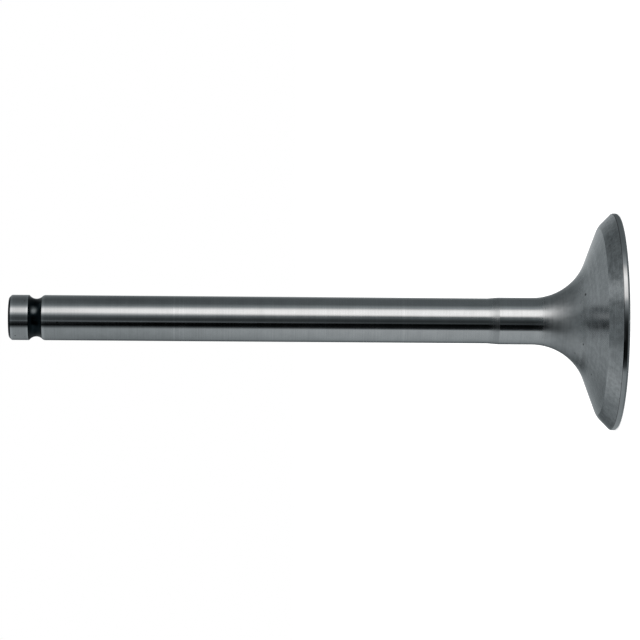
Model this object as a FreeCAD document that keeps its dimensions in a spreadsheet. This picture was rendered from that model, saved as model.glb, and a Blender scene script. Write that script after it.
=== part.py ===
import FreeCAD, Part
import math
import os
import Sketcher

# Engine poppet valve, one turned and ground steel piece, in millimetres.
# The origin is the centre of the combustion face, and +Z runs up the stem to the tip.
# Every size lives in the sheet below. Angles are in degrees.

SIZES = [
    ("overall_length", 107.3, "combustion face to tip face"),
    ("head_diameter", 38.4, "over the margin, the widest place of the valve"),
    ("face_chamfer", 0.3, "broken edge round the combustion face"),
    ("margin_height", 0.66, "cylindrical margin between the broken edge and the seat"),
    ("seat_angle", 45.0, "the cone that closes on the seat ring, from the rim plane"),
    ("seat_width", 2.35, "along that cone, from the margin to the start of the shoulder"),
    ("shoulder_radius", 3.0, "leads the seat over into the flatter cone under the head"),
    ("underhead_angle", 21.3, "the cone under the head, from the rim plane"),
    ("neck_fillet", 10.0, "the large radius that leads that cone into the neck"),
    ("stem_diameter", 7.98, "ground stem, 8 mm nominal less its running clearance"),
    ("grinding_allowance", 0.16, "the turned neck stands this far proud of the ground stem"),
    ("ground_end_height", 22.9, "combustion face to the end of the ground stem"),
    ("run_out_length", 2.0, "where the grinding wheel runs out into the neck"),
    ("groove_from_tip", 4.8, "tip face to the middle of the keeper groove"),
    ("groove_depth", 0.65, "below the ground stem"),
    ("groove_radius", 1.5, "the round bottom that the keepers' beads seat in"),
    ("groove_flank_angle", 45.0, "the groove's straight flanks, from the axis"),
    ("groove_edge_radius", 0.15, "rounds the groove's two mouth edges"),
    ("groove_overcut", 0.5, "how far outside the stem the groove's outline closes"),
    ("tip_chamfer", 0.5, "broken edge round the tip face"),
]

FULL_TURN = 360.0
MATCH = 1e-4
AXIS = FreeCAD.Vector(0, 0, 1)
ORIGIN = -1
START, END, CENTRE = 1, 2, 3


def fill_sheet(doc):
    """Writes each size into its own row, with its name as the alias."""
    sheet = doc.addObject("Spreadsheet::Sheet", "Sizes")
    for row, (name, number, note) in enumerate(SIZES, start=1):
        sheet.set(f"A{row}", name)
        sheet.set(f"B{row}", str(number))
        sheet.set(f"C{row}", note)
        sheet.setAlias(f"B{row}", name)
    doc.recompute()
    return sheet


def section_sketch(body, name):
    """A sketch on the body's own XZ plane: its x is the radius and its y the height."""
    plane = next(item for item in body.Origin.OriginFeatures if item.Role == "XZ_Plane")
    sketch = body.newObject("Sketcher::SketchObject", name)
    sketch.AttachmentSupport = (plane, [""])
    sketch.MapMode = "FlatFace"
    return sketch


def point(radius, height):
    """A point of the half section."""
    return FreeCAD.Vector(radius, height, 0)


def line(sketch, start, end):
    """Adds a straight run and gives its number."""
    return sketch.addGeometry(Part.LineSegment(start, end))


def arc(sketch, centre, radius, start_angle, end_angle):
    """Adds an anticlockwise arc, between two angles in degrees, and gives its number."""
    circle = Part.Circle(centre, AXIS, radius)
    start = math.radians(start_angle)
    end = math.radians(end_angle)
    return sketch.addGeometry(Part.ArcOfCircle(circle, start, end))


def on_circle(centre, radius, angle):
    """The point of a circle at an angle in degrees."""
    turn = math.radians(angle)
    return centre + point(radius * math.cos(turn), radius * math.sin(turn))


def tie(sketch, kind, *places):
    """Adds one geometric constraint."""
    sketch.addConstraint(Sketcher.Constraint(kind, *places))


def bind(sketch, name, formula, kind, *places_and_value):
    """Adds one named dimension and ties it to the sheet."""
    index = sketch.addConstraint(Sketcher.Constraint(kind, *places_and_value))
    sketch.renameConstraint(index, name)
    sketch.setExpression(f"Constraints.{name}", formula)


def draw_half_section(body, sizes):
    """The blank's half section, from the combustion face round to the axis.

    Seat, shoulder, cone and neck fillet run into each other as one tangent line.
    """
    sketch = section_sketch(body, "HalfSection")
    head_radius = sizes.head_diameter / 2
    stem_radius = sizes.stem_diameter / 2
    neck_radius = stem_radius + sizes.grinding_allowance
    rim_height = sizes.face_chamfer + sizes.margin_height
    neck_top = sizes.ground_end_height - sizes.run_out_length
    seat_normal = 90 - sizes.seat_angle
    cone_normal = 90 - sizes.underhead_angle

    face_centre = point(0, 0)
    face_edge = point(head_radius, 0)
    rim = point(head_radius, rim_height)
    seat_end = on_circle(rim, sizes.seat_width, 180 - sizes.seat_angle)
    shoulder_centre = on_circle(seat_end, -sizes.shoulder_radius, seat_normal)
    cone_start = on_circle(shoulder_centre, sizes.shoulder_radius, cone_normal)
    cone_end_radius = neck_radius + sizes.neck_fillet * (1 - math.cos(math.radians(cone_normal)))
    cone_slope = math.tan(math.radians(sizes.underhead_angle))
    cone_end = point(cone_end_radius, cone_start.y + (cone_start.x - cone_end_radius) * cone_slope)
    fillet_centre = on_circle(cone_end, sizes.neck_fillet, cone_normal)
    neck_bottom = fillet_centre - point(sizes.neck_fillet, 0)
    neck_end = point(neck_radius, neck_top)
    stem_end = point(stem_radius, sizes.ground_end_height)
    tip_edge = point(stem_radius, sizes.overall_length)
    tip_centre = point(0, sizes.overall_length)

    face = line(sketch, face_centre, face_edge)
    margin = line(sketch, face_edge, rim)
    seat = line(sketch, rim, seat_end)
    shoulder = arc(sketch, shoulder_centre, sizes.shoulder_radius, seat_normal, cone_normal)
    cone = line(sketch, cone_start, cone_end)
    fillet = arc(sketch, fillet_centre, sizes.neck_fillet, 180, 180 + cone_normal)
    neck = line(sketch, neck_bottom, neck_end)
    run_out = line(sketch, neck_end, stem_end)
    stem = line(sketch, stem_end, tip_edge)
    tip = line(sketch, tip_edge, tip_centre)
    axis = line(sketch, tip_centre, face_centre)

    for before, after in [(face, margin), (margin, seat), (neck, run_out), (run_out, stem),
                          (stem, tip), (tip, axis), (axis, face)]:
        tie(sketch, "Coincident", before, END, after, START)
    tie(sketch, "Tangent", seat, END, shoulder, START)
    tie(sketch, "Tangent", shoulder, END, cone, START)
    tie(sketch, "Tangent", cone, END, fillet, END)
    tie(sketch, "Tangent", fillet, START, neck, START)
    tie(sketch, "Coincident", face, START, ORIGIN, START)
    for level in (face, tip):
        tie(sketch, "Horizontal", level)
    for upright in (margin, neck, stem, axis):
        tie(sketch, "Vertical", upright)

    bind(sketch, "head_radius", "Sizes.head_diameter / 2",
         "DistanceX", face, START, face, END, head_radius)
    bind(sketch, "rim_height", "Sizes.face_chamfer + Sizes.margin_height",
         "DistanceY", margin, START, margin, END, rim_height)
    bind(sketch, "seat_angle", "(180 - Sizes.seat_angle) * 1 deg",
         "Angle", seat, math.radians(180 - sizes.seat_angle))
    bind(sketch, "seat_width", "Sizes.seat_width", "Distance", seat, sizes.seat_width)
    bind(sketch, "shoulder_radius", "Sizes.shoulder_radius",
         "Radius", shoulder, sizes.shoulder_radius)
    bind(sketch, "underhead_angle", "(180 - Sizes.underhead_angle) * 1 deg",
         "Angle", cone, math.radians(180 - sizes.underhead_angle))
    bind(sketch, "neck_fillet", "Sizes.neck_fillet", "Radius", fillet, sizes.neck_fillet)
    bind(sketch, "neck_radius", "Sizes.stem_diameter / 2 + Sizes.grinding_allowance",
         "DistanceX", ORIGIN, START, neck, END, neck_radius)
    bind(sketch, "run_out", "Sizes.run_out_length",
         "DistanceY", run_out, START, run_out, END, sizes.run_out_length)
    bind(sketch, "ground_end", "Sizes.ground_end_height",
         "DistanceY", ORIGIN, START, stem, START, sizes.ground_end_height)
    bind(sketch, "stem_radius", "Sizes.stem_diameter / 2",
         "DistanceX", tip, END, tip, START, stem_radius)
    bind(sketch, "overall_length", "Sizes.overall_length",
         "DistanceY", axis, END, axis, START, sizes.overall_length)
    return sketch


def draw_groove_section(body, sizes):
    """The keeper groove's section: a round bottom with straight flanks that lean outwards."""
    sketch = section_sketch(body, "KeeperGrooveSection")
    stem_radius = sizes.stem_diameter / 2
    centre_radius = stem_radius - sizes.groove_depth + sizes.groove_radius
    centre = point(centre_radius, sizes.overall_length - sizes.groove_from_tip)
    outer_radius = stem_radius + sizes.groove_overcut
    half_turn = 90 - sizes.groove_flank_angle
    upper_start = on_circle(centre, sizes.groove_radius, 180 - half_turn)
    lower_end = on_circle(centre, sizes.groove_radius, 180 + half_turn)
    flank_rise = (outer_radius - upper_start.x) * math.tan(math.radians(half_turn))
    upper_end = point(outer_radius, upper_start.y + flank_rise)
    lower_start = point(outer_radius, lower_end.y - flank_rise)

    bottom = arc(sketch, centre, sizes.groove_radius, 180 - half_turn, 180 + half_turn)
    upper = line(sketch, upper_start, upper_end)
    outside = line(sketch, upper_end, lower_start)
    lower = line(sketch, lower_start, lower_end)

    tie(sketch, "Tangent", bottom, START, upper, START)
    tie(sketch, "Coincident", upper, END, outside, START)
    tie(sketch, "Coincident", outside, END, lower, START)
    tie(sketch, "Tangent", lower, END, bottom, END)
    tie(sketch, "Vertical", outside)
    tie(sketch, "Equal", upper, lower)

    bind(sketch, "bottom_radius", "Sizes.groove_radius", "Radius", bottom, sizes.groove_radius)
    bind(sketch, "centre_radius", "Sizes.stem_diameter / 2 - Sizes.groove_depth + Sizes.groove_radius",
         "DistanceX", ORIGIN, START, bottom, CENTRE, centre.x)
    bind(sketch, "centre_height", "Sizes.overall_length - Sizes.groove_from_tip",
         "DistanceY", ORIGIN, START, bottom, CENTRE, centre.y)
    bind(sketch, "flank_rise", "(90 - Sizes.groove_flank_angle) * 1 deg",
         "Angle", upper, math.radians(half_turn))
    bind(sketch, "outer_radius", "Sizes.stem_diameter / 2 + Sizes.groove_overcut",
         "DistanceX", ORIGIN, START, outside, START, outer_radius)
    return sketch


def turn(body, kind, name, sketch):
    """A Revolution or a Groove of the sketch, all the way round the valve's axis."""
    feature = body.newObject(kind, name)
    feature.Profile = sketch
    feature.ReferenceAxis = (sketch, ["V_Axis"])
    feature.Angle = FULL_TURN
    body.Document.recompute()
    return feature


def ring_edges(feature, radius, lowest, highest):
    """The names of the round edges of one radius whose height lies in a range."""
    names = []
    for number, edge in enumerate(feature.Shape.Edges, start=1):
        if not isinstance(edge.Curve, Part.Circle):
            continue
        right_radius = abs(edge.Curve.Radius - radius) < MATCH
        right_height = lowest - MATCH < edge.Curve.Center.z < highest + MATCH
        if right_radius and right_height:
            names.append(f"Edge{number}")
    return names


def dress(body, kind, name, base, edges, size_property, formula):
    """A Fillet or a Chamfer on round edges, with its size tied to the sheet."""
    feature = body.newObject(kind, name)
    feature.Base = (base, edges)
    feature.setExpression(size_property, formula)
    body.Document.recompute()
    return feature


def build_valve(doc, sizes):
    """Turns the blank, cuts the keeper groove and breaks the sharp edges."""
    body = doc.addObject("PartDesign::Body", "Valve")
    body.Label = "valve"
    head_radius = sizes.head_diameter / 2
    stem_radius = sizes.stem_diameter / 2
    tip = sizes.overall_length

    blank = turn(body, "PartDesign::Revolution", "Blank", draw_half_section(body, sizes))
    groove = turn(body, "PartDesign::Groove", "KeeperGroove", draw_groove_section(body, sizes))
    if groove.Shape.Volume >= blank.Shape.Volume:
        raise RuntimeError("the keeper groove cuts nothing")

    mouth_edges = ring_edges(groove, stem_radius, sizes.ground_end_height + MATCH * 2, tip - MATCH * 2)
    rounded = dress(body, "PartDesign::Fillet", "GrooveEdges", groove, mouth_edges,
                    "Radius", "Sizes.groove_edge_radius")
    face_edge = ring_edges(rounded, head_radius, 0, 0)
    broken = dress(body, "PartDesign::Chamfer", "FaceEdge", rounded, face_edge,
                   "Size", "Sizes.face_chamfer")
    tip_edge = ring_edges(broken, stem_radius, tip, tip)
    dress(body, "PartDesign::Chamfer", "TipEdge", broken, tip_edge,
          "Size", "Sizes.tip_chamfer")
    return body


def check(doc):
    """Stops the build if any feature failed."""
    for item in doc.Objects:
        if {"Invalid", "Error"} & set(item.State):
            raise RuntimeError(f"{item.Name} failed: {item.State}")


def export(body):
    """Writes the finished piece under its own name."""
    shape = body.Shape
    if shape.isNull() or not shape.isValid():
        raise RuntimeError(f"{body.Label} has no valid shape")
    os.makedirs("parts", exist_ok=True)
    shape.exportStep(f"parts/{body.Label}.step")
    box = shape.optimalBoundingBox()
    print(f"{body.Label}: {len(shape.Solids)} solid, {shape.Volume:.1f} mm3, "
          f"{box.XLength:.2f} x {box.YLength:.2f} x {box.ZLength:.2f} mm")


document = FreeCAD.newDocument("EngineValve")
size_sheet = fill_sheet(document)
valve = build_valve(document, size_sheet)
check(document)
export(valve)
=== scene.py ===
# %% [markdown]
# # An engine valve, turned and ground from one bar
#
# A poppet valve is all surface finish: it has no paint and no second part, so the eye
# reads it by how each stretch of the steel was cut. The stem and the neck are ground
# bright, the cone under the head is turned, the seat is ground again, and the keeper
# groove keeps the black scale of its heat treatment. This lesson turns one outline into a
# mesh, gives each stretch its own finish and lights it inside a tent, as metal is lit on
# a product bench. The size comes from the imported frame, in metres, with +Z up the stem.

# %% Load the frame
import math
import bpy
import numpy as np
from mathutils import Matrix, Vector
from mathutils.bvhtree import BVHTree


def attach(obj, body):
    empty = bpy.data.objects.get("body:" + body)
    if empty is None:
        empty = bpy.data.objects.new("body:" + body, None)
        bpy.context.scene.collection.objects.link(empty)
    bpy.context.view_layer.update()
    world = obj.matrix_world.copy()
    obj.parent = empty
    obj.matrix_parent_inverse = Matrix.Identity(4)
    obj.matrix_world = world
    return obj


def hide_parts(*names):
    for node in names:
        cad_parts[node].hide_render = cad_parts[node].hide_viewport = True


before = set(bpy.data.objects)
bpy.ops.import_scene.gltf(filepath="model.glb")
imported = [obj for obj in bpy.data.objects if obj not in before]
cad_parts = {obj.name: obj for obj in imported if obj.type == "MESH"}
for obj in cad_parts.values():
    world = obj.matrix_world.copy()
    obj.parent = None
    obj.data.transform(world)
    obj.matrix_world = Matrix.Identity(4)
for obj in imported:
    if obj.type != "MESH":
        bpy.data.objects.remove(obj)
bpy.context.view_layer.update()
MM = 0.001

# %% [markdown]
# ## The camera
#
# The valve stands on its face in the frame but lies across the picture, tip to the left.
# A camera can be tipped on its side, or the valve can be laid down and a level camera
# used. The frame is fixed here, so the camera is tipped: the picture's left is up the
# stem. It looks square at the stem, turned a little so that the tip end is nearer, which
# shows the cone under the head. The lens is long, as for small parts on a bench.

# %% Place the camera
PICTURE = 640
SENSOR = 36.0
LENS = 163.5
CAMERA_DISTANCE = 513.8 * MM
CAMERA_YAW = math.radians(1.567)
CAMERA_TILT = math.radians(0.426)
PICTURE_CENTRE = Vector((-0.06 * MM, 0.0, 52.51 * MM))

look = Vector((0.0, math.cos(CAMERA_YAW), -math.sin(CAMERA_YAW)))
down_stem = Vector((0.0, -math.sin(CAMERA_YAW), -math.cos(CAMERA_YAW)))
across_stem = Vector((1.0, 0.0, 0.0))
right = math.cos(CAMERA_TILT) * down_stem + math.sin(CAMERA_TILT) * across_stem
up = math.cos(CAMERA_TILT) * across_stem - math.sin(CAMERA_TILT) * down_stem
eye = PICTURE_CENTRE - CAMERA_DISTANCE * look

camera_data = bpy.data.cameras.new("bench_camera")
camera_data.sensor_width = SENSOR
camera_data.lens = LENS
camera_data.clip_start = 0.01
camera = bpy.data.objects.new("bench_camera", camera_data)
turn = Matrix((right, up, -look)).transposed()
camera.matrix_world = Matrix.Translation(eye) @ turn.to_4x4()
bpy.context.scene.collection.objects.link(camera)
bpy.context.scene.camera = camera
bpy.context.scene.view_settings.view_transform = "Standard"
print("camera at", [round(v / MM, 1) for v in eye], "mm")

# %% [markdown]
# ## The turned outline
#
# A valve is made on a lathe, so its shape is one half outline carried round an axis. The
# drawing of such a part gives sharp corners and a radius at each. That is how it is
# written here: the corners come first, and one function rounds them all, from the broken
# edges of a few hundredths to the 10 mm fillet of the neck. A Screw or Bevel modifier
# could do both jobs, but working it out with numpy also gives the true normal of every
# point, which keeps long reflections on the stem straight.

# %% Sizes of the half outline, in millimetres
HEAD_RADIUS = 19.2
FACE_CHAMFER = 0.3
SEAT_START = 0.96
SEAT_WIDTH = 2.35
SEAT_ANGLE = math.radians(45)
SHOULDER_RADIUS = 3.0
CONE_ANGLE = math.radians(21.3)
NECK_FILLET = 10.0
NECK_RADIUS = 4.15
STEM_RADIUS = 3.99
RUN_OUT = (20.9, 22.9)
GROOVE_HEIGHT = 102.5
GROOVE_MOUTH = 1.272
GROOVE_RADIUS = 1.5
TIP_CHAMFER = 0.5
LENGTH = 107.3

shoulder_turn = math.pi / 2 - CONE_ANGLE - SEAT_ANGLE
seat_end = SEAT_WIDTH + SHOULDER_RADIUS * math.tan(shoulder_turn / 2)
seat_drop = seat_end * math.sin(SEAT_ANGLE)
shoulder = (HEAD_RADIUS - seat_drop, SEAT_START + seat_drop)
neck_start = shoulder[1] + (shoulder[0] - NECK_RADIUS) * math.tan(CONE_ANGLE)
groove_edges = (GROOVE_HEIGHT - GROOVE_MOUTH, GROOVE_HEIGHT + GROOVE_MOUTH)
groove_corner = STEM_RADIUS - GROOVE_MOUTH
print("shoulder corner at", shoulder, "and neck corner at height", neck_start)

# %% Corners of the half outline
# The finishes, from the combustion face up to the tip.
FINISHES = ["faced", "polished", "seat", "turned", "neck", "run_out", "stem", "scale", "tip"]
# Each corner: radius from the axis, height, rounding, hold, finish of it, finish after.
# A ground face keeps its light up to the edge: the hold is how much of the rounding's
# turn happens only at its end.
CORNERS = [
    (HEAD_RADIUS - FACE_CHAMFER, 0.0, 0.06, 0.0, "faced", "polished"),
    (HEAD_RADIUS, FACE_CHAMFER, 0.25, 0.0, "polished", "polished"),
    (HEAD_RADIUS, SEAT_START, 0.4, 0.9, "polished", "seat"),
    (shoulder[0], shoulder[1], SHOULDER_RADIUS, 0.85, "seat", "turned"),
    (NECK_RADIUS, neck_start, NECK_FILLET, 0.0, "turned", "neck"),
    (NECK_RADIUS, RUN_OUT[0], 2.0, 0.0, "neck", "run_out"),
    (STEM_RADIUS, RUN_OUT[1], 1.0, 0.0, "run_out", "stem"),
    (STEM_RADIUS, groove_edges[0], 0.8, 0.9, "stem", "scale"),
    (groove_corner, GROOVE_HEIGHT, GROOVE_RADIUS, 0.0, "scale", "scale"),
    (STEM_RADIUS, groove_edges[1], 0.15, 0.0, "scale", "stem"),
    (STEM_RADIUS, LENGTH - TIP_CHAMFER, 0.4, 0.9, "stem", "scale"),
    (STEM_RADIUS - TIP_CHAMFER, LENGTH, 0.3, 0.0, "scale", "tip"),
]
print(len(CORNERS), "corners between", len(FINISHES), "finishes")

# %% Round one corner
ARC_STEP = math.radians(3.0)
FEWEST_ARC_ROWS = 3


def corner_arc(start, before, after, rounding, hold):
    """The points of a rounding beyond its start, and the angles of the normals under and
    over each point.

    Each point is the arc's centre plus the rounding times the outward normal, which
    swings evenly from the angle before the corner to the angle after it. A rounding with
    a hold keeps that part of the swing back and makes it at once at the end, as where a
    ground face breaks into a turned one.
    """
    swing = after - before
    side = math.copysign(1.0, swing)
    rows = max(FEWEST_ARC_ROWS, math.ceil(abs(swing) / ARC_STEP))
    sweep = np.linspace(before, after, rows + 1)
    outward = np.stack([np.cos(sweep), np.sin(sweep)], axis=1)
    centre = start - side * rounding * outward[0]
    points = centre + side * rounding * outward
    held = sweep - hold * (sweep - before)
    return points[1:], held[1:], np.append(held[1:-1], after)


print("an arc has a row for every", round(math.degrees(ARC_STEP)), "degrees")

# %% Round every corner
LONGEST_ROW = 2.0
# The wheel ground the neck down to this height. The fillet below it stays turned.
GROUND_NECK_FOOT = 13.2


def turned_outline(corners, length):
    """The half outline with every corner rounded.

    A rounding of radius R at a corner that turns by the angle T starts R tan(T / 2)
    before it and ends as far after it. Returns the points (r, z), the normals (nr, nz)
    under and over each point, and one finish per row of faces.
    """
    spots = np.array([(0.0, 0.0)] + [c[:2] for c in corners] + [(0.0, length)])
    runs = np.diff(spots, axis=0)
    runs /= np.linalg.norm(runs, axis=1)[:, None]
    angles = np.unwrap(np.arctan2(runs[:, 1], runs[:, 0])) - math.pi / 2
    points = [spots[:1]]
    under = [angles[:1]]
    over = [angles[:1]]
    finishes = []

    def add_run(end, angle, finish):
        start = points[-1][-1]
        rows = max(1, math.ceil(math.dist(start, end) / LONGEST_ROW))
        points.append(np.linspace(start, end, rows + 1)[1:])
        under.append(np.full(rows, angle))
        over.append(np.full(rows, angle))
        finishes.extend([finish] * rows)

    before = "faced"
    for i, (_, _, rounding, hold, finish, after) in enumerate(corners):
        reach = rounding * math.tan(abs(angles[i + 1] - angles[i]) / 2)
        start = spots[i + 1] - reach * runs[i]
        add_run(start, angles[i], before)
        arc = corner_arc(start, angles[i], angles[i + 1], rounding, hold)
        for collected, part in zip((points, under, over), arc):
            collected.append(part)
        finishes.extend([finish] * len(arc[0]))
        before = after
    add_run(spots[-1], angles[-1], before)
    facing = [np.concatenate(part) for part in (under, over)]
    normals = [np.stack([np.cos(angle), np.sin(angle)], axis=1) for angle in facing]
    return np.concatenate(points), normals, finishes


outline, outline_normals, row_finish = turned_outline(CORNERS, LENGTH)
above_foot = outline[:-1, 1] > GROUND_NECK_FOOT
row_finish = ["neck" if f == "turned" and on else f for f, on in zip(row_finish, above_foot)]
print(len(outline), "points; widest", outline[:, 0].max(), "mm")

# %% [markdown]
# ## A map for the finishes
#
# Painters unwrap a turned part the way its wrapper would come off: the stem as a strip,
# the head's two sides as discs. An automatic unwrap cuts a long thin part into slivers,
# so the map is worked out here from the outline itself. The strip runs from the middle of
# the neck fillet to the tip; the disc of the upper side is laid out by length along the
# outline, so that the seat and the upright margin keep their width in it.

# %% Lay out the map
MAP_SIDE = 104.0
MAP_GAP = 1.5
STRIP_WIDTH = 2 * math.pi * NECK_RADIUS
# The strip ends where the fillet has this radius, on the side above the head's depth.
STRIP_REACH = 7.2
HEAD_DEPTH = 5.0
# The tip's disc keeps this much room to the strip and to the map's top.
TIP_DISC_ROOM = (4.0, 5.0)
EDGE_INSET = 0.02
SLIVER = 1e-6

upper_side = outline[:, 1] > HEAD_DEPTH
SPLIT = int(np.argmax((outline[:, 0] < STRIP_REACH) & upper_side))
EDGE = int(np.argmax(outline[:, 0] > HEAD_RADIUS - FACE_CHAMFER - EDGE_INSET))
TIP_ROW = int(np.argmax(outline[:, 1] > LENGTH - SLIVER))

travel = np.concatenate([[0.0], np.cumsum(np.linalg.norm(np.diff(outline, axis=0), axis=1))])
upper_radius = outline[SPLIT, 0] + travel[SPLIT] - travel[EDGE]
under_centre = (STRIP_WIDTH + 2 * MAP_GAP + upper_radius, MAP_GAP + upper_radius)
face_centre = (under_centre[0], under_centre[1] + upper_radius + MAP_GAP + HEAD_RADIUS)
tip_centre = (STRIP_WIDTH + 2 * MAP_GAP + TIP_DISC_ROOM[0], MAP_SIDE - TIP_DISC_ROOM[1])


def map_of(row, turn_part, panel):
    """Where a point of the outline lies in the map, in millimetres.

    turn_part goes from 0 to 1 round the valve. On the strip the place is the part of a
    turn across and the travel along the outline upward. On a disc it is the disc's
    centre plus a radius in the direction of the turn.
    """
    around = 2 * math.pi * turn_part
    ring = np.stack([np.sin(around), np.cos(around)], axis=-1)
    if panel == "strip":
        height = travel[row] - travel[SPLIT] + MAP_GAP
        return np.stack([MAP_GAP + STRIP_WIDTH * turn_part, height + 0 * turn_part], axis=-1)
    if panel == "under":
        reach = outline[SPLIT, 0] + travel[SPLIT] - travel[row]
        return np.array(under_centre) + reach[..., None] * ring
    centre = face_centre if panel == "face" else tip_centre
    return np.array(centre) + outline[row, 0][..., None] * ring


print("strip", round(STRIP_WIDTH, 1), "mm wide; disc radius", round(upper_radius, 1), "mm")

# %% [markdown]
# ## The mesh
#
# The grid has one column per step round the axis and one row per outline point. Both
# poles are single points with a fan of triangles, so the skin is closed. The columns
# start at the back of the valve, where the map's seam does least harm.

# %% Turn the outline into a closed skin
TURNS = 288


def turned_skin(name, points, normals, finishes):
    """A mesh whose point (row, column) is (r sin a, -r cos a, z), for the angle a of the
    column, with the normal (nr sin a, -nr cos a, nz). A face takes the normal over its
    lower ring and the normal under its upper ring."""
    angle = math.pi + 2 * math.pi * np.arange(TURNS) / TURNS
    ring = np.stack([np.sin(angle), -np.cos(angle)], axis=1)

    def around(values):
        flat = values[:, None, :1] * ring[None]
        upright = np.broadcast_to(values[:, None, 1:], flat.shape[:2] + (1,))
        return np.concatenate([flat, upright], axis=2).reshape(-1, 3)

    last = len(points) - 1
    poles = np.array([[0.0, 0.0, points[0, 1]], [0.0, 0.0, points[last, 1]]])
    spots = np.concatenate([around(points[1:last]), poles]) * MM
    ends = np.array([[0, 0, -1], [0, 0, 1]])
    under, over = (np.concatenate([around(part[1:last]), ends]) for part in normals)
    foot = len(spots) - 2
    top = len(spots) - 1

    column = np.arange(TURNS)
    following = (column + 1) % TURNS
    row = np.arange(last - 2)[:, None] * TURNS
    quads = np.stack(
        [row + column, row + following, row + TURNS + following, row + TURNS + column], axis=2
    )
    crown = (last - 2) * TURNS
    fan_down = np.stack([np.full(TURNS, foot), following, column], axis=1)
    fan_up = np.stack([np.full(TURNS, top), crown + column, crown + following], axis=1)
    faces = quads.reshape(-1, 4).tolist() + fan_down.tolist() + fan_up.tolist()
    sides = (over, over, under, under)
    wall = np.stack([side[quads[..., i]] for i, side in enumerate(sides)], axis=2)
    corner_normals = [part.reshape(-1, 3) for part in (wall, under[fan_down], over[fan_up])]

    mesh = bpy.data.meshes.new(name)
    mesh.from_pydata(spots.tolist(), [], faces)
    slots = np.array([FINISHES.index(f) for f in finishes])
    per_face = np.concatenate(
        [np.repeat(slots[1:-1], TURNS), np.full(TURNS, slots[0]), np.full(TURNS, slots[-1])]
    )
    mesh.polygons.foreach_set("material_index", per_face.astype(np.int32))
    mesh.polygons.foreach_set("use_smooth", np.ones(len(faces), dtype=bool))
    mesh.normals_split_custom_set(np.concatenate(corner_normals).tolist())
    return mesh


skin = turned_skin("turned_valve", outline, outline_normals, row_finish)
print(len(skin.vertices), "points,", sum(len(p.vertices) - 2 for p in skin.polygons), "triangles")

# %% Give every face corner its place in the map


def map_corners(rows):
    """The map place of every face corner, in the order in which turned_skin lists them."""
    step = np.arange(TURNS) / TURNS
    after = step + 1 / TURNS
    places = []
    for row in range(1, rows - 2):
        panel = "strip" if row >= SPLIT else "under" if row >= EDGE else "face"
        if row >= TIP_ROW:
            panel = "tip"
        low = np.full(TURNS, row)
        high = low + 1
        corners = [(low, step), (low, after), (high, after), (high, step)]
        places.append(np.stack([map_of(r, s, panel) for r, s in corners], axis=1).reshape(-1, 2))
    for row, pole, panel in ((1, 0, "face"), (rows - 2, rows - 1, "tip")):
        rim = np.full(TURNS, row)
        order = [(rim, after), (rim, step)] if panel == "face" else [(rim, step), (rim, after)]
        corners = [(np.full(TURNS, pole), step)] + order
        places.append(np.stack([map_of(r, s, panel) for r, s in corners], axis=1).reshape(-1, 2))
    return np.concatenate(places) / MAP_SIDE


skin_map = skin.uv_layers.new(name="OFBake")
skin_map.data.foreach_set("uv", map_corners(len(outline)).ravel().astype(np.float32))
skin.update()
print(len(skin_map.data), "face corners laid out")

# %% The valve takes the place of its plain body
valve = bpy.data.objects.new("turned_valve", skin)
bpy.context.scene.collection.objects.link(valve)
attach(valve, "root")
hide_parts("valve")
print(valve.name, "is", round(valve.dimensions.z / MM, 1), "mm long")

# %% [markdown]
# ## Places found through the camera
#
# Small marks belong where the picture shows them. A ray sent from the camera through a
# picture point meets the skin at the mark's place on the steel, so a mark is named by its
# picture point and then stays put when the valve is seen from any other side.

# %% Find a picture point on the steel
FOCAL_PIXELS = LENS / SENSOR * PICTURE
skin_tree = BVHTree.FromPolygons(
    [v.co for v in skin.vertices], [tuple(p.vertices) for p in skin.polygons]
)


def on_steel(across, down):
    """The point of the skin behind the picture point, in metres: the ray's direction is
    the view plus the point's offsets from the middle over the focal length in pixels."""
    offset = (across - PICTURE / 2) * right + (PICTURE / 2 - down) * up
    return skin_tree.ray_cast(eye, (look + offset / FOCAL_PIXELS).normalized())[0]


print("the middle of the picture meets the stem at", on_steel(PICTURE / 2, PICTURE / 2))

# %% [markdown]
# ## Small tools for building materials
#
# A material is a graph of nodes. A few helpers keep the graph readable: one places a node
# and plugs in its inputs, and three more stand for the sums, ranges and mixes that come
# again and again. Two others start a group with named sockets and place it. A group is
# the right home for an effect that several finishes share, such as tool marks.

# %% Helpers for single nodes


def put(tree, kind, options=None, inputs=None):
    """Adds a node. Options are its own settings; an input is a value, or a socket, which
    is then linked."""
    node = tree.nodes.new(kind)
    for name, value in (options or {}).items():
        setattr(node, name, value)
    for name, value in (inputs or {}).items():
        if isinstance(value, bpy.types.NodeSocket):
            tree.links.new(value, node.inputs[name])
        else:
            node.inputs[name].default_value = value
    return node


def math_of(tree, operation, first, second=0.0):
    """One sum on two numbers or sockets."""
    return put(tree, "ShaderNodeMath", {"operation": operation}, {0: first, 1: second}).outputs[0]


def spread(tree, value, low, high, new_low, new_high):
    """Carries the range low to high over to new_low to new_high, smoothly and clamped."""
    limits = {"From Min": low, "From Max": high, "To Min": new_low, "To Max": new_high}
    options = {"interpolation_type": "SMOOTHSTEP"}
    return put(tree, "ShaderNodeMapRange", options, {"Value": value, **limits}).outputs[0]


def mixed(tree, factor, below, above):
    """The colour below where the factor is zero and the colour above where it is one."""
    colours = {"Factor": factor, "A": below, "B": above}
    return put(tree, "ShaderNodeMix", {"data_type": "RGBA"}, colours).outputs["Result"]


print("helpers for nodes:", ", ".join(f.__name__ for f in (put, math_of, spread, mixed)))

# %% Helpers for groups


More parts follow.
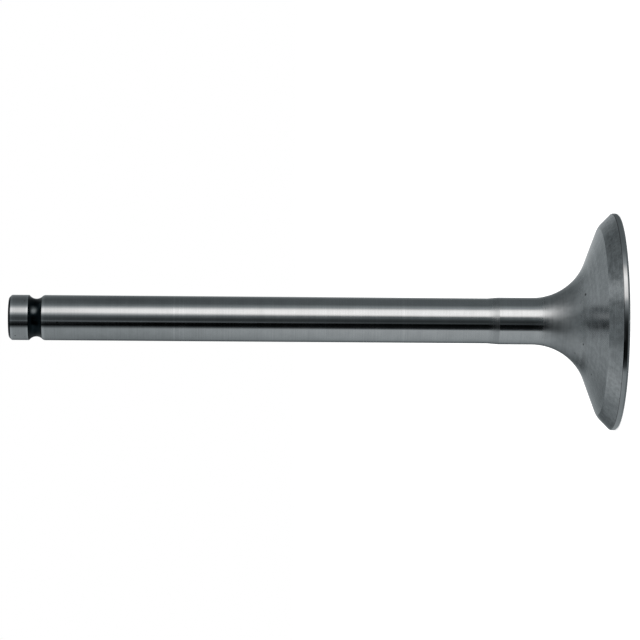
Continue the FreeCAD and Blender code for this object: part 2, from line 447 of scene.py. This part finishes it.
def group(name, inputs, outputs):
    """Starts a node group. Returns it with its input and output nodes."""
    tree = bpy.data.node_groups.new(name, "ShaderNodeTree")
    for label, (kind, value) in inputs.items():
        socket = tree.interface.new_socket(label, in_out="INPUT", socket_type=kind)
        if value is not None:
            socket.default_value = value
    for label in outputs:
        tree.interface.new_socket(label, in_out="OUTPUT", socket_type="NodeSocketFloat")
    return tree, tree.nodes.new("NodeGroupInput"), tree.nodes.new("NodeGroupOutput")


def use(tree, node_group, inputs):
    """Places a group in a material, gives its inputs and returns its one output."""
    return put(tree, "ShaderNodeGroup", {"node_tree": node_group}, inputs).outputs[0]


print("helpers for groups:", ", ".join(f.__name__ for f in (group, use)))

# %% [markdown]
# ## Tool marks
#
# A grinding wheel or a lathe tool leaves rings: fine lines that run round the part and
# differ from their neighbours along it. Noise stretched round the axis gives them. Its
# coordinate is squeezed hard along the tool's travel and hardly at all round the part, so
# a line fades and thickens as it goes round, which a plain wave would not do.

# %% Build the tool mark group
LINE_CONTRAST = (0.3, 0.7)
marks_tree, marks_in, marks_out = group(
    "tool_marks",
    {
        "Place": ("NodeSocketVector", None),
        "Travel": ("NodeSocketFloat", 0.0),
        "Lines per mm": ("NodeSocketFloat", 2.0),
        "Drift per mm": ("NodeSocketFloat", 0.02),
    },
    ["Lines"],
)
place_parts = put(marks_tree, "ShaderNodeSeparateXYZ", inputs={0: marks_in.outputs["Place"]})
drift = math_of(marks_tree, "MULTIPLY", marks_in.outputs["Drift per mm"], 1 / MM)
pitch = math_of(marks_tree, "MULTIPLY", marks_in.outputs["Lines per mm"], 1 / MM)
marks_place = put(
    marks_tree,
    "ShaderNodeCombineXYZ",
    inputs={
        0: math_of(marks_tree, "MULTIPLY", place_parts.outputs[0], drift),
        1: math_of(marks_tree, "MULTIPLY", place_parts.outputs[1], drift),
        2: math_of(marks_tree, "MULTIPLY", marks_in.outputs["Travel"], pitch),
    },
)
marks_noise = put(
    marks_tree,
    "ShaderNodeTexNoise",
    inputs={"Vector": marks_place.outputs[0], "Scale": 1.0, "Detail": 3.0, "Roughness": 0.6},
)
marks_lines = spread(marks_tree, marks_noise.outputs[0], *LINE_CONTRAST, 0.0, 1.0)
marks_tree.links.new(marks_lines, marks_out.inputs["Lines"])
print("tool marks:", len(marks_tree.nodes), "nodes")

# %% [markdown]
# ## Cloud
#
# Ground and turned steel is never even: coolant stains, handling and the grain of the
# steel leave soft patches a few millimetres across. Noise at that scale, with its middle
# stretched, gives a value that every finish can use to shift its colour and roughness.

# %% Build the cloud group
CLOUD_CONTRAST = (0.32, 0.68)
cloud_tree, cloud_in, cloud_out = group(
    "cloud",
    {"Place": ("NodeSocketVector", None), "Patch mm": ("NodeSocketFloat", 4.0)},
    ["Cloud"],
)
cloud_scale = math_of(cloud_tree, "DIVIDE", 1 / MM, cloud_in.outputs["Patch mm"])
cloud_noise = put(
    cloud_tree,
    "ShaderNodeTexNoise",
    inputs={
        "Vector": cloud_in.outputs["Place"],
        "Scale": cloud_scale,
        "Detail": 4.0,
        "Roughness": 0.55,
    },
)
cloud_value = spread(cloud_tree, cloud_noise.outputs[0], *CLOUD_CONTRAST, 0.0, 1.0)
cloud_tree.links.new(cloud_value, cloud_out.inputs["Cloud"])
print("cloud:", len(cloud_tree.nodes), "nodes")

# %% [markdown]
# ## Pits
#
# A few small pits and knocks show on the turned side of the head, on the seat and near
# the tip. Each is a soft spot round a point: the distance from that point, carried over
# to a value that is one in the spot's core and zero at its rim. A texture could scatter
# them, but these few have known places. The same spot paints a highlight in the groove.

# %% Build the spot group, for pits and a painted highlight
PIT_CORE = 0.3
spot_tree, pit_in, pit_out = group(
    "pit_and_highlight_spot",
    {
        "Place": ("NodeSocketVector", None),
        "Centre": ("NodeSocketVector", None),
        "Radius mm": ("NodeSocketFloat", 0.2),
        "Strength": ("NodeSocketFloat", 1.0),
        "Others": ("NodeSocketFloat", 0.0),
    },
    ["Pits"],
)
pit_reach = put(
    spot_tree,
    "ShaderNodeVectorMath",
    {"operation": "DISTANCE"},
    {0: pit_in.outputs["Place"], 1: pit_in.outputs["Centre"]},
).outputs["Value"]
pit_radius = math_of(spot_tree, "MULTIPLY", pit_in.outputs["Radius mm"], MM)
pit_share = math_of(spot_tree, "DIVIDE", pit_reach, pit_radius)
pit_soft = spread(spot_tree, pit_share, PIT_CORE, 1.0, 1.0, 0.0)
pit_value = math_of(spot_tree, "MULTIPLY", pit_soft, pit_in.outputs["Strength"])
pit_all = math_of(spot_tree, "MAXIMUM", pit_value, pit_in.outputs["Others"])
spot_tree.links.new(pit_all, pit_out.inputs["Pits"])
print("pit:", len(spot_tree.nodes), "nodes")

# %% [markdown]
# ## Worn rings and painted shade
#
# Where an edge rubs on a keeper, a guide or a rack, the steel is brighter in a ring round
# the part. Where the wheel ran out, and at the foot of the neck, it is duller. At the
# seat's outer edge a ring of painted shade darkens the colour. One value does for all of
# them: one at the ring's height, falling to zero within its reach on either side.
# Painting them by hand would not follow the axis.

# %% Build the worn ring group
ring_tree, ring_in, ring_out = group(
    "worn_and_shade_ring",
    {
        "Height": ("NodeSocketFloat", 0.0),
        "Ring mm": ("NodeSocketFloat", 0.0),
        "Reach mm": ("NodeSocketFloat", 0.5),
        "Strength": ("NodeSocketFloat", 1.0),
        "Others": ("NodeSocketFloat", 0.0),
    },
    ["Worn"],
)
ring_height = math_of(ring_tree, "MULTIPLY", ring_in.outputs["Ring mm"], MM)
ring_away = math_of(ring_tree, "SUBTRACT", ring_in.outputs["Height"], ring_height)
ring_reach = math_of(ring_tree, "MULTIPLY", ring_in.outputs["Reach mm"], MM)
ring_share = math_of(ring_tree, "DIVIDE", math_of(ring_tree, "ABSOLUTE", ring_away), ring_reach)
ring_soft = spread(ring_tree, ring_share, 0.0, 1.0, 1.0, 0.0)
ring_worn = math_of(ring_tree, "MULTIPLY", ring_soft, ring_in.outputs["Strength"])
ring_all = math_of(ring_tree, "MAXIMUM", ring_worn, ring_in.outputs["Others"])
ring_tree.links.new(ring_all, ring_out.inputs["Worn"])
print("worn ring:", len(ring_tree.nodes), "nodes")

# %% [markdown]
# ## The finishes
#
# All finishes are one steel, so they share one way of being put together. Tool marks and
# cloud together choose between two shades and two roughnesses, and the marks give a faint
# bump. Worn rings and pits come over that where a finish has them, and so do a painted
# highlight in the groove and a ring of painted shade at the seat's edge. What differs is
# the marks' pitch, how much they show and how rough the cut is.
#
# Rings round the part spread light along it more than round it. Anisotropy says how much
# more, with the tangent running round the axis and turned by a quarter.

# %% Colours of the steel
STEEL = np.array((0.560, 0.570, 0.578))
SCALE_CAST = np.array((0.68, 1.05, 1.25))
# Pits take this colour, and so does the ring of painted shade at the seat's edge.
PIT_AND_SHADE_COLOUR = (0.02, 0.022, 0.024, 1.0)
BRIGHT_STEEL = (0.72, 0.73, 0.74, 1.0)
DULL_STEEL = (0.40, 0.41, 0.42, 1.0)
# The colour of the painted highlight in the black groove.
GROOVE_HIGHLIGHT_COLOUR = (0.100, 0.112, 0.117, 1.0)
DULL_SHARE = 0.3
PIT_DEPTH = 4.0
QUARTER_TURN = 0.25
SCALE_SHADE = (0.02 * SCALE_CAST, 0.035 * SCALE_CAST)
print("clean steel", STEEL, "and black scale", STEEL * SCALE_SHADE[0])

# %% Helpers for wear, pits, painted shade and painted highlight


def ring_values_at(tree, height, rings):
    """The ring group per (height, reach, strength), for wear and painted shade."""
    worn = 0.0
    for ring, reach, strength in rings:
        values = {"Height": height, "Ring mm": ring, "Reach mm": reach}
        worn = use(tree, ring_tree, {**values, "Strength": strength, "Others": worn})
    return worn


def spots_on(tree, place, spots):
    """The spot group per (centre, radius, strength): pits and the painted highlight."""
    pits = 0.0
    for centre, radius, strength in spots:
        values = {"Place": place, "Centre": centre, "Radius mm": radius}
        pits = use(tree, spot_tree, {**values, "Strength": strength, "Others": pits})
    return pits


def place_on_part(tree, travel):
    """A point's place, its height, and its travel along the cut: its height, or its
    distance from the axis where the cut faces along the axis."""
    place = put(tree, "ShaderNodeTexCoord").outputs["Object"]
    parts = put(tree, "ShaderNodeSeparateXYZ", inputs={0: place}).outputs
    if travel == "height":
        return place, parts[2], parts[2]
    flat = put(tree, "ShaderNodeCombineXYZ", inputs={0: parts[0], 1: parts[1]}).outputs[0]
    reach = put(tree, "ShaderNodeVectorMath", {"operation": "LENGTH"}, {0: flat})
    return place, parts[2], reach.outputs["Value"]


print("helpers for wear:", ", ".join(f.__name__ for f in (ring_values_at, spots_on, place_on_part)))

# %% A steel finish from its numbers


def steel_finish(
    name, travel, lines, patch, shade, rough, rings, bump,
    pits=(), bright=(), dull=(), dark=(), painted_highlight=(), dulling=0.15, drawn=0.6,
):
    """One steel finish. Travel is height or radius; lines is tool lines per mm; patch is
    the cloud's size in mm; shade and rough are each the value where the marks are low and
    where they are high; rings weighs rings against cloud; bump is the marks' depth in mm.
    Pits lists pits, and the other spot list lays on a painted highlight; bright and dull
    list worn rings, and a dull ring is rougher by the dulling; dark lists rings of painted
    shade. Drawn is how far light spreads along the part more than round it."""
    material = bpy.data.materials.new(name)
    material.use_nodes = True
    tree = material.node_tree
    shader = tree.nodes["Principled BSDF"]
    place, height, along = place_on_part(tree, travel)

    marks = use(tree, marks_tree, {"Place": place, "Travel": along, "Lines per mm": lines})
    clouds = use(tree, cloud_tree, {"Place": place, "Patch mm": patch})
    ring_part = math_of(tree, "MULTIPLY", marks, rings)
    cloud_part = math_of(tree, "MULTIPLY", clouds, 1.0 - rings)
    cut = math_of(tree, "ADD", ring_part, cloud_part)
    low, high = (tuple(STEEL * s) + (1.0,) for s in shade)
    colour = mixed(tree, cut, low, high)
    roughness = spread(tree, cut, 0.0, 1.0, *rough)
    relief = marks
    if bright:
        colour = mixed(tree, ring_values_at(tree, height, bright), colour, BRIGHT_STEEL)
    # Painted highlight: a lighter spot laid into the black scale's colour, standing in for the
    # bright reflection at the groove's bottom.
    if painted_highlight:
        colour = mixed(tree, spots_on(tree, place, painted_highlight), colour, GROOVE_HIGHLIGHT_COLOUR)
    if dull:
        dulled = ring_values_at(tree, height, dull)
        colour = mixed(tree, math_of(tree, "MULTIPLY", dulled, DULL_SHARE), colour, DULL_STEEL)
        roughness = math_of(tree, "ADD", roughness, math_of(tree, "MULTIPLY", dulled, dulling))
    # Painted shade: dark rings laid into the colour, as at the seat's outer edge.
    if dark:
        colour = mixed(tree, ring_values_at(tree, height, dark), colour, PIT_AND_SHADE_COLOUR)
    if pits:
        holes = spots_on(tree, place, pits)
        colour = mixed(tree, holes, colour, PIT_AND_SHADE_COLOUR)
        relief = math_of(tree, "SUBTRACT", relief, math_of(tree, "MULTIPLY", holes, PIT_DEPTH))
    surface = put(tree, "ShaderNodeBump", inputs={"Distance": bump * MM, "Height": relief})
    grain = put(tree, "ShaderNodeTangent", {"direction_type": "RADIAL", "axis": "Z"})
    tree.links.new(colour, shader.inputs["Base Color"])
    tree.links.new(roughness, shader.inputs["Roughness"])
    tree.links.new(surface.outputs[0], shader.inputs["Normal"])
    tree.links.new(grain.outputs[0], shader.inputs["Tangent"])
    shader.inputs["Metallic"].default_value = 1.0
    shader.inputs["Anisotropic"].default_value = drawn
    shader.inputs["Anisotropic Rotation"].default_value = QUARTER_TURN
    return material


print("a dull ring takes", DULL_SHARE, "of the dull steel's colour")

# %% [markdown]
# ### Marks of use
#
# This valve has been handled: it has knocks on the head and near the tip and faint rings
# where the stem slid, and the black groove carries a painted highlight. They could be
# painted on the map by hand. Here each list gives picture points, so the marks can be
# checked against the picture by eye, and one helper puts them on the steel.

# %% Spots, by picture point, radius in millimetres and strength
HEAD_PITS = [
    ((585.6, 294.5), 0.34, 0.95),
    ((583.3, 344.4), 0.26, 0.8),
    ((575.0, 353.0), 0.16, 0.7),
    ((591.5, 374.6), 0.26, 0.9),
    ((580.0, 277.0), 0.70, 0.12),
]
SEAT_PITS = [
    ((622.0, 384.0), 0.30, 0.7),
    ((620.0, 399.0), 0.26, 0.7),
    ((607.3, 222.2), 0.22, 0.8),
    ((611.5, 239.5), 0.45, 0.35),
    ((614.5, 246.5), 0.30, 0.30),
    ((609.5, 245.5), 0.35, 0.25),
]
STEM_PITS = [
    ((57.0, 322.5), 0.22, 0.8),
    ((15.2, 335.6), 0.20, 0.6),
    ((24.6, 300.8), 0.22, 0.35),
    ((24.8, 336.8), 0.18, 0.35),
]
# The groove's spot is a painted highlight: a lighter colour where the black groove shows a bright
# reflection.
GROOVE_HIGHLIGHT_SPOT = [((33.3, 309.5), 1.0, 1.0)]


def spots_at(listed):
    """Each picture point of the list, found on the steel, with its radius and strength."""
    return [(on_steel(*point), radius, strength) for point, radius, strength in listed]


print("spots:", sum(len(spots) for spots in (HEAD_PITS, SEAT_PITS, STEM_PITS, GROOVE_HIGHLIGHT_SPOT)))

# %% Rings, by height and reach in millimetres and strength
EDGE_RING = (0.5, 0.9)
# Rings seen on the stem, along one line of the picture: where on it, reach and strength.
STEM_RINGS = [(174.0, 0.3, 0.35), (179.5, 0.2, 0.25), (183.0, 0.2, 0.25), (404.0, 0.3, 0.25)]
STEM_LINE = 330.0

rubbed_edges = (*groove_edges, LENGTH - TIP_CHAMFER)
stem_bright = [(edge, *EDGE_RING) for edge in rubbed_edges]
stem_bright += [(on_steel(across, STEM_LINE).z / MM, *rest) for across, *rest in STEM_RINGS]
run_out_dull = [(RUN_OUT[0] + 0.5, 1.7, 1.0)]
neck_dull = [(GROUND_NECK_FOOT - 3.0, 5.2, 1.0)]
# A ring of painted shade at the seat's outer edge, where the edge shows a dark line.
seat_edge_painted_shade = [(SEAT_START + 0.1, 0.15, 0.8)]
print("bright rings on the stem at", [round(ring[0], 1) for ring in stem_bright], "mm")

# %% [markdown]
# ### Each stretch of the valve
#
# The stem and the neck are ground with a fine wheel and come out almost a mirror across,
# a little drawn out along. Between them the wheel ran out and left a duller step. The
# head's upper side is turned and left satin. The seat is ground after it, duller than the
# stem. The combustion face is faced off on the lathe, in rings about its middle. The
# groove and the tip's chamfer are black.
#
# One material with masks could hold all of this, but a slot for each stretch keeps every
# finish in a few plain numbers.

# %% Finishes of the head
finish_made = {
    "faced": steel_finish(
        "faced_steel", "radius", lines=2.5, patch=5.0, shade=(0.82, 1.04), rough=(0.26, 0.36),
        rings=0.75, bump=0.002,
    ),
    "polished": steel_finish(
        "polished_steel", "height", lines=6.0, patch=3.0, shade=(0.90, 1.04), rough=(0.10, 0.14),
        rings=0.5, bump=0.0004, dark=seat_edge_painted_shade,
    ),
    "seat": steel_finish(
        "ground_seat", "height", lines=5.0, patch=0.9, shade=(0.74, 1.15), rough=(0.17, 0.24),
        rings=0.35, bump=0.0006, pits=spots_at(SEAT_PITS),
    ),
    "turned": steel_finish(
        "turned_steel", "height", lines=2.6, patch=1.0, shade=(0.80, 1.13), rough=(0.17, 0.24),
        rings=0.45, bump=0.001, pits=spots_at(HEAD_PITS), dull=neck_dull, dulling=0.22,
        drawn=0.22,
    ),
}
print("on the head:", ", ".join(finish_made))

# %% Finishes of the neck, the stem and the tip
finish_made |= {
    "neck": steel_finish(
        "ground_neck", "height", lines=3.0, patch=2.0, shade=(0.92, 1.08), rough=(0.11, 0.165),
        rings=0.5, bump=0.0004, dull=neck_dull, dulling=0.38,
    ),
    "run_out": steel_finish(
        "run_out", "height", lines=3.0, patch=1.2, shade=(0.88, 1.04), rough=(0.14, 0.2),
        rings=0.6, bump=0.001, dull=run_out_dull,
    ),
    "stem": steel_finish(
        "ground_stem", "height", lines=4.0, patch=2.4, shade=(0.89, 1.05), rough=(0.11, 0.165),
        rings=0.5, bump=0.0004, pits=spots_at(STEM_PITS), bright=stem_bright,
    ),
    "scale": steel_finish(
        "black_scale", "height", lines=3.0, patch=1.2, shade=SCALE_SHADE, rough=(0.14, 0.2),
        rings=0.3, bump=0.001, painted_highlight=spots_at(GROOVE_HIGHLIGHT_SPOT),
    ),
    "tip": steel_finish(
        "ground_tip", "radius", lines=3.0, patch=2.0, shade=(0.80, 1.02), rough=(0.22, 0.32),
        rings=0.5, bump=0.001,
    ),
}
for finish in FINISHES:
    skin.materials.append(finish_made[finish])
print("finishes:", ", ".join(m.name for m in skin.materials))

# %% [markdown]
# ## Floor and background
#
# The bench is white paper. Bright metal on white is lit so that the paper is just white
# and the metal keeps its own greys, so the white is painted, not lit: what the camera
# and the reflections see of the world has a strength of 1, while the light that it
# gives the floor stays plain. The floor takes a faint shadow from a wide lamp above.

# %% What is seen directly


def seen_directly(tree):
    """One where a camera, glossy or transmission ray looks, zero for all other light."""
    path = put(tree, "ShaderNodeLightPath").outputs
    eyes = math_of(tree, "MAXIMUM", path["Is Camera Ray"], path["Is Glossy Ray"])
    return math_of(tree, "MAXIMUM", eyes, path["Is Transmission Ray"])


print("helper for the painted white:", seen_directly.__name__)

# %% White world
WHITE = (1.0, 1.0, 1.0, 1.0)
WORLD_LIGHT = 0.5
world = bpy.data.worlds.new("white_surround")
world.use_nodes = True
bpy.context.scene.world = world
surround = world.node_tree.nodes["Background"]
surround.inputs["Color"].default_value = WHITE
world_level = spread(world.node_tree, seen_directly(world.node_tree), 0.0, 1.0, WORLD_LIGHT, 1.0)
world.node_tree.links.new(world_level, surround.inputs["Strength"])
print("the world gives", WORLD_LIGHT, "and is seen as 1")

# %% Paper floor
FLOOR_HALF = 3.0
FLOOR_GLOW = 0.62
FLOOR_PAPER = (0.8, 0.8, 0.8, 1.0)
floor_mesh = bpy.data.meshes.new("paper_floor")
floor_corners = np.array([(-1, -1, 0), (1, -1, 0), (1, 1, 0), (-1, 1, 0)]) * FLOOR_HALF
floor_mesh.from_pydata(floor_corners.tolist(), [], [(0, 1, 2, 3)])
floor = bpy.data.objects.new("paper_floor", floor_mesh)
bpy.context.scene.collection.objects.link(floor)
paper = bpy.data.materials.new("white_paper")
paper.use_nodes = True
paper_shader = paper.node_tree.nodes["Principled BSDF"]
paper_shader.inputs["Base Color"].default_value = FLOOR_PAPER
paper_shader.inputs["Roughness"].default_value = 0.9
paper_shader.inputs["Specular IOR Level"].default_value = 0.0
paper_shader.inputs["Emission Color"].default_value = WHITE
glow = math_of(paper.node_tree, "MULTIPLY", seen_directly(paper.node_tree), FLOOR_GLOW)
paper.node_tree.links.new(glow, paper_shader.inputs["Emission Strength"])
floor_mesh.materials.append(paper)
# The narrow margin faces the paper that it stands on. In the picture it mirrors the tent
# instead, so the reflections look through the floor.
floor.visible_glossy = False
print("floor", 2 * FLOOR_HALF, "m wide")

# %% [markdown]
# ## The lamp
#
# The tent lights the steel through its reflections, so the lamp has one task: a faint,
# soft shadow on the paper. A sun would draw a hard edge. A disc as wide as a window,
# above and to the side, leaves hardly more than a tint where the head meets the bench.

# %% A wide lamp over the bench
LAMP_PLACE = Vector((0.3, -0.3, 1.2))
LAMP_WIDTH = 1.6
LAMP_POWER = 9.0
lamp_data = bpy.data.lights.new("bench_lamp", "AREA")
lamp_data.shape = "DISK"
lamp_data.size = LAMP_WIDTH
lamp_data.energy = LAMP_POWER
lamp = bpy.data.objects.new("bench_lamp", lamp_data)
lamp.location = LAMP_PLACE
lamp.rotation_euler = LAMP_PLACE.to_track_quat("Z", "Y").to_euler()
lamp.visible_glossy = False
bpy.context.scene.collection.objects.link(lamp)
print("lamp at", tuple(lamp.location))

# %% [markdown]
# ## The tent
#
# A bright stem is a curved mirror: it shows the whole room round it in bands along its
# length. So metal is photographed in a tent, a curtain of white, grey and black paper all
# round, and the bands are made by hanging the right paper at the right angle. The bands
# here are a bright strip on the upper side, a black strip just below the middle that
# gives the stem its edge, another bright strip at the back, and grey elsewhere.
#
# The tent is a ball with six rows of papers, one above the other. The wall hangs beside
# the neck and the upper row beside the upper stem, so the bands change slowly along the
# stem. The roof and the crown close the ball above, where the neck's fillet, the cone and
# the seat look. The skirt and the foot close it below. Lamps could give the bands too,
# but papers are seen sharply and light nothing else: only reflections see the tent. The
# papers were hung one by one, as a photographer does, until the steel's bands were right.

# %% Papers of the wall
# Each paper: the angle round the stem, from the camera towards its upper side, and level.
WALL_PAPERS = [
    (-180, 1.25), (-175, 1.20), (-171, 0.36), (-164, 0.24), (-159, 0.13), (-150, 0.12),
    (-142, 0.20), (-125, 0.36), (-100, 0.445), (-51, 0.52), (-45, 0.07), (-40, 0.01),
    (-19, 0.0), (-16, 0.09), (-12, 0.06), (-6, 0.035), (3, 0.07), (11, 0.15),
    (17, 0.17), (23, 1.10), (28, 1.46), (47, 1.41), (53, 1.14), (60, 0.48),
    (69, 0.33), (82, 0.15), (130, 0.14), (164, 0.38), (171, 0.52), (175, 1.20),
    (180, 1.25),
]
print(len(WALL_PAPERS), "papers in the wall")

# %% Papers of the upper row and the roof
UPPER_PAPERS = [
    (-180, 0.58), (-174, 0.40), (-163, 0.26), (-156, 0.09), (-147, 0.09), (-138, 0.21),
    (-120, 0.27), (-65, 0.36), (-55, 0.36), (-45, 0.10), (-38, 0.0), (-20, 0.0),
    (-16, 0.23), (-12, 0.06), (0, 0.06), (12, 0.17), (22, 0.68), (30, 1.40),
    (45, 1.34), (55, 0.64), (65, 0.24), (80, 0.12), (105, 0.10), (130, 0.13),
    (163, 0.28), (171, 0.46), (180, 0.58),
]
ROOF_PAPERS = [
    (-180, 0.28), (-150, 0.36), (-110, 0.45), (-72, 0.36), (-58, 0.26), (-50, 0.08),
    (-40, 0.0), (-33, 0.02), (-20, 0.12), (-5, 0.12), (8, 0.11), (20, 0.24),
    (42, 0.35), (55, 0.33), (65, 0.26), (105, 0.15), (145, 0.35), (180, 0.28),
]
print(len(UPPER_PAPERS), "papers in the upper row and", len(ROOF_PAPERS), "in the roof")

# %% Papers of the skirt, the crown and the foot
SKIRT_PAPERS = [
    (-180, 1.20), (-174, 1.10), (-168, 0.30), (-140, 0.34), (-68, 0.32), (-52, 0.28),
    (-45, 0.05), (-36, 0.0), (-12, 0.0), (0, 0.02), (8, 0.10), (20, 0.42),
    (25, 1.10), (45, 1.46), (52, 1.05), (60, 0.42), (76, 0.18), (97, 0.15),
    (125, 0.14), (150, 0.12), (168, 0.26), (174, 1.10), (180, 1.20),
]
CROWN_PAPERS = [
    (-180, 0.165), (-130, 0.18), (-60, 0.21), (-20, 0.20), (20, 0.175), (60, 0.155),
    (120, 0.155), (180, 0.165),
]
FOOT_LEVEL = 0.18
FOOT_PAPERS = [(-180, FOOT_LEVEL), (180, FOOT_LEVEL)]
print(len(SKIRT_PAPERS), "papers in the skirt and", len(CROWN_PAPERS), "in the crown")

# %% The colour of a paper
BRIGHTEST = 1.7
WHITE_FROM = 0.8
WHITE_PAPER = np.array((1.015, 1.0, 0.985))
GREY_CAST = np.array((-0.14, 0.0, 0.054))
CAST_FADE = 1.2


def paper_colour(level):
    """White paper is a little warm. Grey paper is cooler the darker it is: one plus the
    cast, which fades by CAST_FADE times the level. The colour is given as a part of the
    brightest paper, because a ramp's colours go up to one."""
    paper = WHITE_PAPER if level > WHITE_FROM else 1 + GREY_CAST * (1 - CAST_FADE * level)
    return tuple(paper * level / BRIGHTEST) + (1.0,)


def paper_row(tree, papers, angle):
    """The colour of a row of papers at each angle: a ramp with one stop per paper."""
    limits = {"From Min": -180.0, "From Max": 180.0}
    share = put(tree, "ShaderNodeMapRange", inputs={"Value": angle, **limits}).outputs[0]
    ramp = put(tree, "ShaderNodeValToRGB", inputs={"Fac": share})
    stops = ramp.color_ramp.elements
    for _ in papers[2:]:
        stops.new(0.5)
    for stop, (at, level) in zip(stops, papers):
        stop.position = (at + 180) / 360
        stop.color = paper_colour(level)
    return ramp.outputs["Color"]


print("black paper", paper_colour(0.0)[:3], "and white", paper_colour(1.0)[:3])

# %% The ball
TENT_RADIUS = 0.16
TENT_CENTRE = (0.0, 0.0, 0.03)
TENT_COLUMNS = 144
TENT_ROWS = 73
LAST_HEIGHT = 89.5


def paper_ball(name, radius, columns, rows):
    """A ball about its object's origin: the point at an angle a round and a height angle
    h is the radius times (cos h sin a, -cos h cos a, sin h)."""
    around = 2 * math.pi * np.arange(columns) / columns
    height = np.radians(np.linspace(-LAST_HEIGHT, LAST_HEIGHT, rows))[:, None]
    flat = np.cos(height)
    spots = np.stack(
        [flat * np.sin(around), -flat * np.cos(around), np.sin(height) + 0 * around], axis=2
    )
    column = np.arange(columns)
    following = (column + 1) % columns
    row = np.arange(rows - 1)[:, None] * columns
    faces = np.stack(
        [row + column, row + columns + column, row + columns + following, row + following], axis=2
    )
    mesh = bpy.data.meshes.new(name)
    mesh.from_pydata((radius * spots).reshape(-1, 3).tolist(), [], faces.reshape(-1, 4).tolist())
    return mesh


tent_mesh = paper_ball("paper_tent", TENT_RADIUS, TENT_COLUMNS, TENT_ROWS)
tent = bpy.data.objects.new("paper_tent", tent_mesh)
tent.location = TENT_CENTRE
bpy.context.scene.collection.objects.link(tent)
print("tent", 2 * TENT_RADIUS, "m across")

# %% Hang the papers
# Height angles on the ball, in degrees. The wall alone hangs from the skirt's top up to
# the wall's height, and every other row has taken over from its neighbour at its own.
FOOT_HEIGHT = -60.0
SKIRT_HEIGHT = -16.0
SKIRT_TOP = -10.0
WALL_HEIGHT = 2.0
UPPER_HEIGHT = 24.0
ROOF_HEIGHT = 50.0
CROWN_HEIGHT = 72.0
PAPER_ROWS = [
    (WALL_HEIGHT, UPPER_HEIGHT, UPPER_PAPERS),
    (UPPER_HEIGHT, ROOF_HEIGHT, ROOF_PAPERS),
    (ROOF_HEIGHT, CROWN_HEIGHT, CROWN_PAPERS),
    (SKIRT_TOP, SKIRT_HEIGHT, SKIRT_PAPERS),
    (SKIRT_HEIGHT, FOOT_HEIGHT, FOOT_PAPERS),
]

tent_paper = bpy.data.materials.new("tent_papers")
tent_paper.use_nodes = True
tent_tree = tent_paper.node_tree
tent_tree.nodes.clear()
tent_place = put(tent_tree, "ShaderNodeTexCoord").outputs["Object"]
tent_parts = put(tent_tree, "ShaderNodeSeparateXYZ", inputs={0: tent_place}).outputs
towards_camera = math_of(tent_tree, "MULTIPLY", tent_parts[1], -1.0)
tent_angle = math_of(tent_tree, "ARCTAN2", tent_parts[0], towards_camera)
tent_degrees = math_of(tent_tree, "DEGREES", tent_angle)
tent_sine = math_of(tent_tree, "DIVIDE", tent_parts[2], TENT_RADIUS)
tent_height = math_of(tent_tree, "DEGREES", math_of(tent_tree, "ARCSINE", tent_sine))
tent_colour = paper_row(tent_tree, WALL_PAPERS, tent_degrees)
for low, high, papers in PAPER_ROWS:
    limits = {"Value": tent_height, "From Min": low, "From Max": high}
    share = put(tent_tree, "ShaderNodeMapRange", inputs=limits).outputs[0]
    tent_colour = mixed(tent_tree, share, tent_colour, paper_row(tent_tree, papers, tent_degrees))
tent_glow = put(
    tent_tree, "ShaderNodeEmission", inputs={"Color": tent_colour, "Strength": BRIGHTEST}
)
put(tent_tree, "ShaderNodeOutputMaterial", inputs={"Surface": tent_glow.outputs[0]})
tent_mesh.materials.append(tent_paper)
print("tent of", len(WALL_PAPERS) + sum(len(row[2]) for row in PAPER_ROWS), "papers")

# %% [markdown]
# ## Cards
#
# The seat's slope turns its reflections up to the crown, where the rows of the tent close
# in to a point, so papers there can't tell one part of the seat from another. Two grey
# cards, laid level above the valve on either side of its axis, give the seat its lighter
# stretches, as a photographer holds up a card for one facet. Their light is a plain glow,
# and like the tent they are seen by reflections alone.

# %% Two cards under the roof
CARD_HEIGHT = 0.16
CARD_DEPTH = 0.07
CARD_MIDDLE = -0.005
# Each card: where it starts and ends along X, in metres, and level.
UPPER_CARD = (0.042, 0.080, 0.40)
LOWER_CARD = (-0.096, -0.044, 0.34)


def roof_card(name, start, end, level):
    """A level card across the valve's axis, from start to end along X."""
    front, back = (CARD_MIDDLE + side * CARD_DEPTH / 2 for side in (-1, 1))
    corners = [(start, front), (end, front), (end, back), (start, back)]
    mesh = bpy.data.meshes.new(name)
    mesh.from_pydata([(x, y, CARD_HEIGHT) for x, y in corners], [], [(3, 2, 1, 0)])
    card = bpy.data.objects.new(name, mesh)
    bpy.context.scene.collection.objects.link(card)
    material = bpy.data.materials.new(name)
    material.use_nodes = True
    tree = material.node_tree
    tree.nodes.clear()
    glow = put(
        tree, "ShaderNodeEmission", inputs={"Color": paper_colour(level), "Strength": BRIGHTEST}
    )
    put(tree, "ShaderNodeOutputMaterial", inputs={"Surface": glow.outputs[0]})
    mesh.materials.append(material)
    return card


upper_card = roof_card("upper_roof_card", *UPPER_CARD)
lower_card = roof_card("lower_roof_card", *LOWER_CARD)
for sheet in (tent, upper_card, lower_card):
    sheet.visible_camera = False
    sheet.visible_diffuse = False
    sheet.visible_shadow = False
print("cards at", CARD_HEIGHT, "m")
